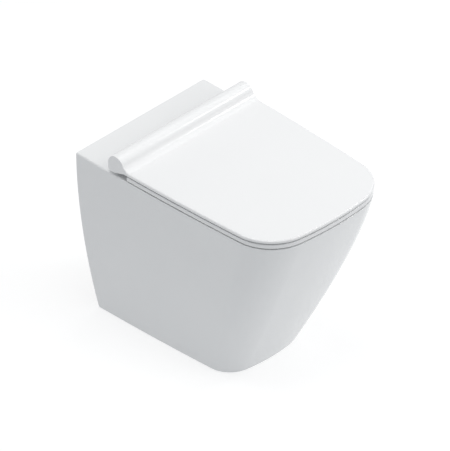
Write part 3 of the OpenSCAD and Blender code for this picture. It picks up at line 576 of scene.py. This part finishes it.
def make_pan():
    space = paint(skirt_space(), BARE_CHINA)
    low, high = mid_wall(WEB_LOW), mid_wall(WEB_HIGH)
    face = ((-low, WEB_LOW), (low, WEB_LOW), (high, WEB_HIGH), (-high, WEB_HIGH))
    web = stack("web", [[at(x, y, z) for x, z in face] for y in (WEB_FRONT, WEB_REAR)])
    horn_y = CHAMBER_BACK + 2 * INLET_R / 3 + HORN_WALL
    horn = turned("horn", (0, 0, INLET_Z), [(INLET_R + HORN_WALL - 1.5, INLET_FACE),
                                           (INLET_R + HORN_WALL, INLET_FACE - 1.5),
                                           (INLET_R + HORN_WALL, -horn_y)], axis="Y", count=64)
    chamber = block("chamber", (-WINDOW_W / 2 - 9, -MOUTH_BACK - 4, LEDGE_Z - 10),
                    (WINDOW_W / 2 + 9, -CHAMBER_BACK + 9, PAN_H - DECK_T / 2))
    body_r, shoulder = OUTLET_R + OUTLET_STEP, OUTLET_END - OUTLET_L
    spigot = [(shoulder - 1.5, body_r), (shoulder, body_r - 1.5), (shoulder, OUTLET_R),
              (OUTLET_END - 2, OUTLET_R), (OUTLET_END, OUTLET_R - 2)]
    parts = [bowl_shell(), web, horn, chamber,
             trap_tube("trap_outside", trap_path(TRAP_R + TRAP_WALL, body_r, CREST_Y - 8, spigot))]
    for side in (-1, 1):
        parts.append(turned("boss", (side * HINGE_X, HINGE_Y, 0),
                            [(BOSS_R, PAN_H - DECK_T - BOSS_H), (BOSS_R, PAN_H - DECK_T / 2)]))
        lug = [(LUG_IN, -1), (LUG_OUT, -1), (mid_wall(LUG_H), LUG_H), (LUG_IN, LUG_H)]
        parts.append(stack("lug", [[at(side * x, y, z) for x, z in lug] for y in (LUG_FRONT, LUG_REAR)]))
    for part in parts:
        combine(space, paint(part, BARE_CHINA), "DIFFERENCE")
    pan = paint(pan_body(), GLAZE)
    combine(pan, space, "DIFFERENCE")
    bores = [trap_tube("trap_inside", trap_path(TRAP_R, OUTLET_BORE_R, CREST_Y, [(3.0, OUTLET_BORE_R)])),
             turned("inlet", (0, 0, INLET_Z), [(INLET_R, 4), (INLET_R, -CHAMBER_BACK - 2 * INLET_R / 3)],
                    axis="Y", count=64)]
    window = block("window", (-WINDOW_W / 2, -MOUTH_BACK - LEDGE_W / 2, LEDGE_Z + 3),
                   (WINDOW_W / 2, -CHAMBER_BACK + 2, LEDGE_Z + 3 + WINDOW_H))
    riser = block("riser", (-INLET_R + 4, -CHAMBER_BACK - 17, INLET_Z),
                  (INLET_R - 4, -CHAMBER_BACK, LEDGE_Z + 9))
    soften(window, 3.0)
    combine(bores[1], window, "UNION")
    combine(bores[1], riser, "UNION")
    for side in (-1, 1):
        bores.append(turned("seat_hole", (side * HINGE_X, HINGE_Y, 0),
                            [(SEAT_HOLE_R, PAN_H - 37), (SEAT_HOLE_R, PAN_H + 3)]))
        bores.append(turned("lug_hole", (0, LUG_BOLT_Y, LUG_BOLT_Z),
                            [(LUG_HOLE_R, side * (LUG_IN - 1.5)), (LUG_HOLE_R, side * LUG_HOLE_END)], axis="X"))
    for bore in bores:
        paint(bore, GLAZE)
    combine(pan, join(bores), "DIFFERENCE")
    clean(pan)
    shade(pan, 32)
    return fit(pan, "pan", "glazed_china", "pan")


# Seat

def stub_holes(places, low, depth):
    """Holes in an underside for the stubs of the rubber pads."""
    r = STUB_R + 0.1
    return join([turned("stub_hole", (side * x, y, 0), [(r, low - 1), (r, low + depth + 0.2)], count=40)
                 for side in (-1, 1) for x, y in places])


def make_seat():
    def outer(inset):
        return with_back(outline(1, inset - SEAT_PROUD, SEAT_BACK + inset), SEAT_BACK_R, back_n=22)

    def inner(k):
        return oval_towards(outer(0), (SEAT_OPEN_HALF_W + k, SEAT_OPEN_BACK - k,
                                       SEAT_OPEN_FRONT + k, SEAT_OPEN_POWER))

    rings = low_edge(outer, SEAT_LOW_R, SEAT_LOW) + top_edge(outer, SEAT_EDGE_R, SEAT_TOP)
    rings += top_edge(inner, SEAT_EDGE_R, SEAT_TOP)[::-1] + low_edge(inner, SEAT_LOW_R, SEAT_LOW)[::-1]
    rings.append(rings[0])
    seat = stack("seat_ring", rings, loop=True)
    reach = SEAT_BACK + HINGE_Y + 6
    knuckle = [(-10, -4), (-5, -14.5), (reach, SEAT_LOW + 1 - HINGE_Z), (reach, SEAT_TOP - 1 - HINGE_Z),
               (13, SEAT_TOP - 1 - HINGE_Z), (10, -4)]
    bevel = 0.8
    for side in (-1, 1):
        x0, x1 = side * KNUCKLE_IN, side * KNUCKLE_OUT
        arm = soften(hinge_prism("arm", knuckle, x0, x1), 1.2)
        profile = [(KNUCKLE_R - bevel, x0), (KNUCKLE_R, x0 + side * bevel),
                   (KNUCKLE_R, x1 - side * bevel), (KNUCKLE_R - bevel, x1)]
        barrel = turned("knuckle", HINGE, profile, axis="X", count=64)
        combine(barrel, arm, "UNION")
        bore = turned("bore", HINGE, [(HINGE_BORE_R, side * KNUCKLE_BORE_IN),
                                      (HINGE_BORE_R, side * KNUCKLE_BORE_OUT)], axis="X")
        hole = turned("hole", HINGE, [(PIN_R + 0.1, side * (KNUCKLE_IN - 2)),
                                      (PIN_R + 0.1, side * (KNUCKLE_OUT + 2))], axis="X")
        combine(barrel, bore, "DIFFERENCE")
        combine(barrel, hole, "DIFFERENCE")
        combine(seat, barrel, "UNION")
    combine(seat, stub_holes(SEAT_PADS, SEAT_LOW, SEAT_STUB_H), "DIFFERENCE")
    paint(clean(seat), DUROPLAST)
    shade(seat, 32)
    return fit(seat, "seat", "duroplast", "seat")


# Lid

def arc(middle, r, start, stop, count):
    """Points on a circle from one angle to another, in degrees, without the first."""
    turns = [math.radians(start + (stop - start) * i / count) for i in range(1, count + 1)]
    return [(middle[0] + r * math.cos(q), middle[1] + r * math.sin(q)) for q in turns]


def barrel_section():
    """Section of the rolled barrel about the hinge axis, as (forward, up, edge radius of its ends)."""
    top, under = LID_TOP - HINGE_Z, LID_LOW - HINGE_Z
    cy = top + FILLET_R
    cx = math.sqrt((BARREL_R + FILLET_R) ** 2 - cy * cy)
    meet = math.degrees(math.atan2(cy, cx))
    points = [(cx + 2, top - 0.3), (cx, top)]
    points += arc((cx, cy), FILLET_R, -90, meet - 180, 24)
    first = cx * BARREL_R / (BARREL_R + FILLET_R)
    ends = [BARREL_END_R + (LID_EDGE_R - BARREL_END_R) * min(max((f - first) / (cx - first), 0), 1) ** 1.5
            for f, u in points]
    points += arc((0, 0), BARREL_R, meet, 180, 90)
    points += arc((HEEL_R - BARREL_R, HEEL_R - BARREL_DROP), HEEL_R, 180, 270, 12)
    slope = (under + BARREL_DROP) / (RAMP_FRONT + RAMP_BACK)
    lean = math.degrees(math.atan(slope))
    start = -RAMP_BACK - RAMP_R * math.tan(math.radians(lean / 2))
    points += [(start, -BARREL_DROP)]
    points += arc((start, RAMP_R - BARREL_DROP), RAMP_R, -90, lean - 90, 6)
    points += [(RAMP_FRONT - 4, under - 4 * slope), (RAMP_FRONT + 1.0, under + 0.05), (cx + 2, under + 0.3)]
    ends += [BARREL_END_R] * (len(points) - len(ends))
    return [(f, u, end_r) for (f, u), end_r in zip(points, ends)]


def barrel_slice(section, side, depth):
    """The section at a depth under the barrel's end face, where the rounded edge draws it in."""
    ring = []
    for i, (f, u, r) in enumerate(section):
        before, after = section[i - 1], section[(i + 1) % len(section)]
        tf, tu = after[0] - before[0], after[1] - before[1]
        if i == 0 or after is section[0]:
            tf, tu = (-1 if i == 0 else 1), 0
        draw_in = r - math.sqrt(r * r - (r - depth) ** 2) if depth < r else 0.0
        k = draw_in / math.hypot(tf, tu)
        half_w = outline(1, -LID_PROUD, f - HINGE_Y, 1, 1, 1)[0][0]
        ring.append(at(side * (half_w - depth), HINGE_Y - (f - tu * k), HINGE_Z + u + tf * k))
    return ring


def make_lid():
    """Plate run into the rolled barrel, hollowed on each side for the hinges."""
    lap = 6.0

    def plate(inset):
        rear = -HINGE_Y + BARREL_R - lap
        return with_back(outline(1, inset - LID_PROUD, rear), 0.5, back_n=30)

    lid = stack("lid_plate", low_edge(plate, LID_LOW_R, LID_LOW) + top_edge(plate, LID_EDGE_R, LID_TOP, 9))
    section = barrel_section()
    depths = [LID_EDGE_R * (1 - math.cos(math.radians(q))) for q in range(0, 91, 10)]
    slices = [(-1, depth) for depth in depths] + [(1, depth) for depth in reversed(depths)]
    barrel = stack("barrel", [barrel_slice(section, side, depth) for side, depth in slices])
    combine(lid, barrel, "UNION")
    under, far = LID_LOW - HINGE_Z, BARREL_R + 8
    mouth = [(far + 12, under), (far + 12, -far), (-far, -far), (-far, far * math.tan(math.radians(40))),
             (0, 0), (0, under)]
    for side in (-1, 1):
        x0, x1 = side * POCKET_IN, side * POCKET_OUT
        hollow = turned("hollow", HINGE, [(POCKET_R, x0), (POCKET_R, x1)], axis="X", count=72)
        combine(hollow, hinge_prism("mouth", mouth, x0, x1), "UNION")
        bore = turned("bore", HINGE, [(HINGE_BORE_R, side * (POCKET_OUT - 1)),
                                      (HINGE_BORE_R, side * LID_BORE_OUT)], axis="X")
        combine(hollow, bore, "UNION")
        combine(lid, hollow, "DIFFERENCE")
    combine(lid, stub_holes(LID_PADS, LID_LOW, LID_STUB_H), "DIFFERENCE")
    paint(clean(lid), DUROPLAST)
    shade(lid, 32)
    return fit(lid, "lid", "duroplast", "lid")


# Fittings

def make_pads():
    for node, body, places, low, high, r, stub_h in (
            ("seat_buffers", "seat", SEAT_PADS, PAN_H + REST_GAP, SEAT_LOW, 8.0, SEAT_STUB_H),
            ("lid_buffers", "lid", LID_PADS, SEAT_TOP + REST_GAP, LID_LOW, 6.0, LID_STUB_H)):
        profile = [(r - 1 + x, low + 1 + z) for x, z in [(0, -1)] + arc((0, 0), 1, -90, 0, 6)]
        profile += [(r, high), (STUB_R, high), (STUB_R, high + stub_h - 0.4), (STUB_R - 0.4, high + stub_h)]
        pads = [turned("pad", (side * x, y, 0), profile, count=40) for side in (-1, 1) for x, y in places]
        group = join(pads)
        group.name = group.data.name = node + "_rubber"
        paint(group, BUFFER_RUBBER)
        shade(group, 40)
        fit(group, body, "buffer_rubber", node)


def make_hinges():
    plates = []
    for side, word in ((-1, "left"), (1, "right")):
        x = side * HINGE_X
        rosette = [(4.2, 407.8), (13.9, 407.8), (14.5, 408.3), (14.5, 409.6), (14.1, 410.4),
                   (13.2, 411.0), (12.6, POST_FOOT_Z), (4.2, POST_FOOT_Z)]
        plates.append(turned("rosette", (x, HINGE_Y, 0), rosette, count=72))
        column = turned("post_" + word, (x, HINGE_Y, 0),
                        [(POST_R + 0.6, POST_FOOT_Z), (POST_R, POST_FOOT_Z + 0.8), (POST_R, HINGE_Z)], count=56)
        boss = turned("boss", HINGE,
                      [(7.3, x - 10.5), (8.0, x - 9.8), (8.0, x + 9.8), (7.3, x + 10.5)], axis="X", count=56)
        combine(column, boss, "UNION")
        clean(column)
        paint(column, CHROME)
        shade(column, 35)
        fit(column, "pan", "hinge_metal", "hinge_post_" + word)
        end = PIN_HALF_L - 0.6
        pin = turned("pin_" + word, HINGE, [(PIN_R - 0.6, x - PIN_HALF_L), (PIN_R, x - end),
                                            (PIN_R, x + end), (PIN_R - 0.6, x + PIN_HALF_L)],
                     axis="X", count=40)
        paint(pin, CHROME)
        shade(pin, 35)
        fit(pin, "pan", "hinge_metal", "hinge_pin_" + word)
    group = join(plates)
    group.name = group.data.name = "hinge_rosettes"
    paint(group, CHROME)
    shade(group, 25)
    fit(group, "pan", "hinge_metal", "base_plates")


def dress_node(node, material, bevel=0.0):
    """Merged, softened copy of a CAD node's mesh in its own finish, in place of the node."""
    source = frame["nodes"][node]
    piece = source.copy()
    piece.data = source.data.copy()
    for key in [k for k in piece.keys() if k.startswith("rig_")]:
        del piece[key]
    bpy.context.scene.collection.objects.link(piece)
    piece.parent = None
    piece.name = piece.data.name = node + "_shown"
    pick(piece)
    bpy.ops.object.mode_set(mode="EDIT")
    bpy.ops.mesh.select_all(action="SELECT")
    bpy.ops.mesh.remove_doubles(threshold=1e-6)
    bpy.ops.mesh.dissolve_limited(angle_limit=math.radians(0.5))
    bpy.ops.object.mode_set(mode="OBJECT")
    if bevel:
        soften(piece, bevel, 40.0, 2)
    paint(piece, material)
    shade(piece, 35)
    body = frame["record"]["behaviour"]["bodies"]
    owner = [b for b, members in body.items() if node in members][0]
    slot = [s["material_slot"] for s in frame["record"]["subparts"] if s["node"] == node][0]
    return fit(piece, owner, slot, node)


MODELLED = ("pan", "seat", "lid", "seat_buffers", "lid_buffers", "base_plates",
            "hinge_post_left", "hinge_post_right", "hinge_pin_left", "hinge_pin_right")
make_pan()
make_seat()
make_lid()
make_pads()
make_hinges()
for entry in frame["record"]["subparts"]:
    node, slot = entry["node"], entry["material_slot"]
    if node not in MODELLED:
        dress_node(node, SLOT_FINISH[slot], 0.5 if "bracket" in node else 0.0)


# Studio

def light_path_mix(tree, plain, seen):
    """Shows one shader to camera, mirror and glass rays and another to the light that lands."""
    nodes, links = tree.nodes, tree.links
    path = nodes.new("ShaderNodeLightPath")
    first = nodes.new("ShaderNodeMath")
    second = nodes.new("ShaderNodeMath")
    first.operation = second.operation = "MAXIMUM"
    links.new(path.outputs["Is Camera Ray"], first.inputs[0])
    links.new(path.outputs["Is Glossy Ray"], first.inputs[1])
    links.new(first.outputs[0], second.inputs[0])
    links.new(path.outputs["Is Transmission Ray"], second.inputs[1])
    mix = nodes.new("ShaderNodeMixShader")
    links.new(second.outputs[0], mix.inputs["Fac"])
    links.new(plain, mix.inputs[1])
    links.new(seen, mix.inputs[2])
    return mix.outputs[0]


SKY, FLOOR_TONE, FLOOR_GLOW, FLOOR_SEEN = 0.42, 0.45, 0.41, 0.66
COOL, WARM = (0.94, 0.97, 1.0), (1.0, 0.995, 0.985)
FLOOR_SIZE, LAMP_AIM = 9.0, (0, 0, 0.25)
LAMPS = (("overhead_softbox", (-0.5, 0.1, 2.6), (1.6, 1.6), 24.0),
         ("right_softbox", (1.75, 0.2, 2.5), (2.0, 1.5), 7.0),
         ("corner_softbox", (1.85, -1.1, 2.0), (0.65, 0.65), 13.0),
         ("front_softbox", (0.7, -2.3, 2.0), (1.4, 1.2), 12.5))


def make_studio():
    scene = bpy.context.scene
    scene.view_settings.view_transform = "Standard"
    world = bpy.data.worlds.new("studio")
    scene.world = world
    world.use_nodes = True
    tree = world.node_tree
    tree.nodes.clear()
    soft = tree.nodes.new("ShaderNodeBackground")
    soft.inputs["Color"].default_value = (*COOL, 1)
    soft.inputs["Strength"].default_value = SKY
    white = tree.nodes.new("ShaderNodeBackground")
    white.inputs["Color"].default_value = (1, 1, 1, 1)
    white.inputs["Strength"].default_value = 1.0
    out = tree.nodes.new("ShaderNodeOutputWorld")
    tree.links.new(light_path_mix(tree, soft.outputs[0], white.outputs[0]), out.inputs["Surface"])

    deselect()
    bpy.ops.mesh.primitive_plane_add(size=FLOOR_SIZE, location=(0, 0, 0))
    floor = bpy.context.object
    floor.name = floor.data.name = "studio_floor"
    material = bpy.data.materials.new("pale_floor")
    material.use_nodes = True
    tree = material.node_tree
    tree.nodes.clear()
    plain = tree.nodes.new("ShaderNodeBsdfDiffuse")
    plain.inputs["Color"].default_value = (FLOOR_TONE, FLOOR_TONE, FLOOR_TONE, 1)
    sums = []
    for colour, strength in ((COOL, FLOOR_GLOW), ((1, 1, 1), FLOOR_SEEN)):
        glow = tree.nodes.new("ShaderNodeEmission")
        glow.inputs["Color"].default_value = (*colour, 1)
        glow.inputs["Strength"].default_value = strength
        both = tree.nodes.new("ShaderNodeAddShader")
        tree.links.new(plain.outputs[0], both.inputs[0])
        tree.links.new(glow.outputs[0], both.inputs[1])
        sums.append(both.outputs[0])
    out = tree.nodes.new("ShaderNodeOutputMaterial")
    tree.links.new(light_path_mix(tree, sums[0], sums[1]), out.inputs["Surface"])
    floor.data.materials.append(material)

    for name, place, size, power in LAMPS:
        data = bpy.data.lights.new(name, "AREA")
        data.shape, data.size, data.size_y = "RECTANGLE", size[0], size[1]
        data.energy, data.color = power, WARM
        lamp = bpy.data.objects.new(name, data)
        scene.collection.objects.link(lamp)
        lamp.location = place
        aim = Vector(LAMP_AIM) - Vector(place)
        lamp.rotation_euler = aim.to_track_quat("-Z", "Y").to_euler()


PICTURE_PX, PX_PER_METRE = 451, 504.65
CAMERA_AIM, CAMERA_RANGE = (0.0159, 0.0504, 0.2433), 4.0


def make_camera():
    """Level-sided corner view without perspective, as the photograph has."""
    data = bpy.data.cameras.new("camera")
    data.type = "ORTHO"
    data.ortho_scale = PICTURE_PX / PX_PER_METRE
    data.clip_start, data.clip_end = 0.05, 20
    camera = bpy.data.objects.new("camera", data)
    bpy.context.scene.collection.objects.link(camera)
    away = Vector((-1, -1, 1)).normalized()
    camera.location = Vector(CAMERA_AIM) + away * CAMERA_RANGE
    camera.rotation_euler = (-away).to_track_quat("-Z", "Y").to_euler()
    bpy.context.scene.camera = camera


make_studio()
make_camera()
